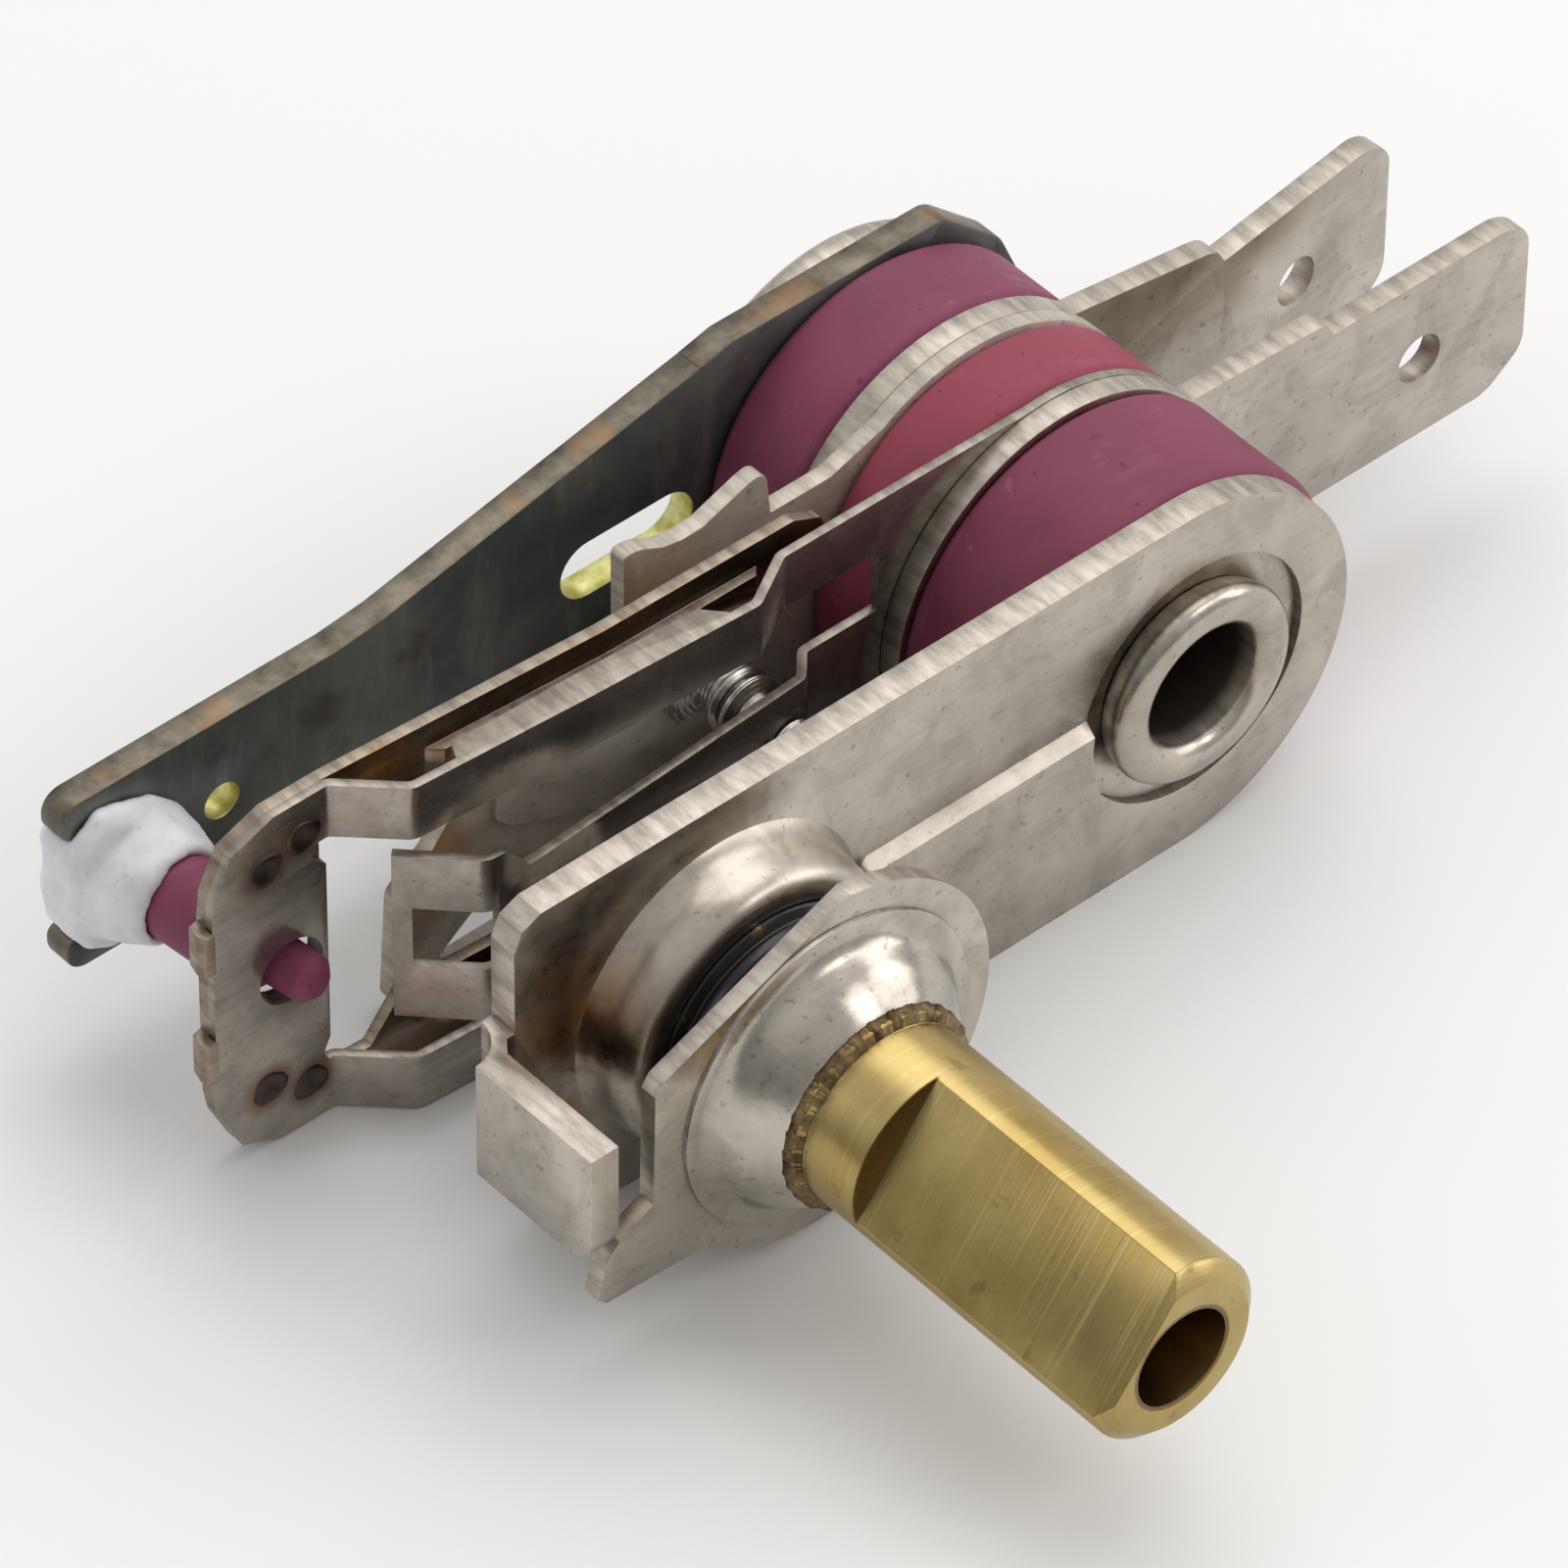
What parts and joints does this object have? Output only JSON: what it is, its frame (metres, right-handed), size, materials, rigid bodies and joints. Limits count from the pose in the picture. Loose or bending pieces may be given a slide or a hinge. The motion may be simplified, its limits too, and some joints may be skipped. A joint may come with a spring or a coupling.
{
  "type": "adjustable bimetal thermostat",
  "caption": "Adjustable bimetal thermostat with a D-shaft and stop collar, ceramic-insulated contact stack, two-armed contact spring, bimetal strip with push pin, and push-on terminals.",
  "frame": {"origin": "on the hollow rivet's axis, at the front face of the mounting bracket", "axes": "+X along the plates towards the terminals, +Y into the stack away from the shaft's free end, +Z across the plates"},
  "size_m": [0.0495, 0.0371, 0.013],
  "materials": {
    "bracket_nickel": "nickel plate, satin, heat tinted",
    "rivet_nickel": "nickel plate, bright",
    "washer_nickel": "nickel plate, satin",
    "steatite_front": "unglazed, mat",
    "steatite_middle": "unglazed, mat",
    "steatite_rear": "unglazed, mat",
    "terminal_nickel_front": "nickel plate, satin",
    "terminal_nickel_rear": "nickel plate, satin",
    "spring_root": "bare spring strip",
    "spring_frame": "bare spring strip, heat tinted at the welds",
    "spring_tongue": "bare spring strip",
    "stiffener_nickel": "nickel plate, heat tinted",
    "arm_nickel": "nickel plate, heat tinted",
    "contact_silver_fixed": "silver, dull",
    "contact_silver_moving": "silver, dull",
    "bimetal_clamp_zinc": "yellow zinc passivate over bimetal",
    "bimetal_strip_zinc": "yellow zinc passivate over bimetal",
    "pin_ceramic": "unglazed, mat",
    "cement_white": "dried refractory cement",
    "shaft_brass": "turned and milled",
    "collar_nickel": "nickel plate, satin",
    "screw_steel": "dull",
    "tip_ceramic": "unglazed, mat"
  },
  "bodies": {
    "base": {"front_bracket": "bracket_nickel", "tube_rivet": "rivet_nickel", "rear_washer": "washer_nickel", "ceramic_front": "steatite_front", "ceramic_middle": "steatite_middle", "ceramic_rear": "steatite_rear", "terminal_front": "terminal_nickel_front", "terminal_rear": "terminal_nickel_rear", "blade_root": "spring_root", "contact_arm": "arm_nickel", "fixed_contact": "contact_silver_fixed", "bimetal_clamp": "bimetal_clamp_zinc"},
    "tip": {"spindle_tip": "tip_ceramic"},
    "spindle": {"shaft": "shaft_brass", "stop_collar": "collar_nickel", "calibration_screw": "screw_steel"},
    "tongue": {"contact_tongue": "spring_tongue", "moving_contact": "contact_silver_moving"},
    "frame": {"blade_frame": "spring_frame", "frame_stiffener": "stiffener_nickel"},
    "bimetal": {"bimetal_strip": "bimetal_strip_zinc", "push_pin": "pin_ceramic", "pin_cement": "cement_white"}
  },
  "joints": [
    {"name": "spindle_advance", "type": "slide", "parent": "base", "child": "tip", "axis": [0, -1, 0], "range_m": [0, 0.000666]},
    {"name": "shaft_turn", "type": "hinge", "parent": "tip", "child": "spindle", "pos_m": [-0.01843, 0, 0], "axis": [0, -1, 0], "range_deg": [0, 300]},
    {"name": "tongue_flex", "type": "hinge", "parent": "base", "child": "tongue", "pos_m": [-0.0065, 0.00665, 0], "axis": [0, 0, 1], "range_deg": [0, 3.3]},
    {"name": "bimetal_bend", "type": "hinge", "parent": "base", "child": "bimetal", "pos_m": [-0.0065, 0.01485, 0], "axis": [0, 0, 1], "range_deg": [-1, 1.8], "stiffness_Nm_per_rad": 0.2},
    {"name": "frame_flex", "type": "hinge", "parent": "base", "child": "frame", "pos_m": [-0.0065, 0.00665, 0], "axis": [0, 0, 1], "range_deg": [-1.05, 1.85]}
  ],
  "couplings": [
    {"joint": "shaft_turn", "follows": "spindle_advance", "rad_per_m": 7854},
    {"joint": "tongue_flex", "follows": "spindle_advance", "rad_per_m": 83.82},
    {"joint": "frame_flex", "follows": "bimetal_bend", "ratio": 1}
  ]
}
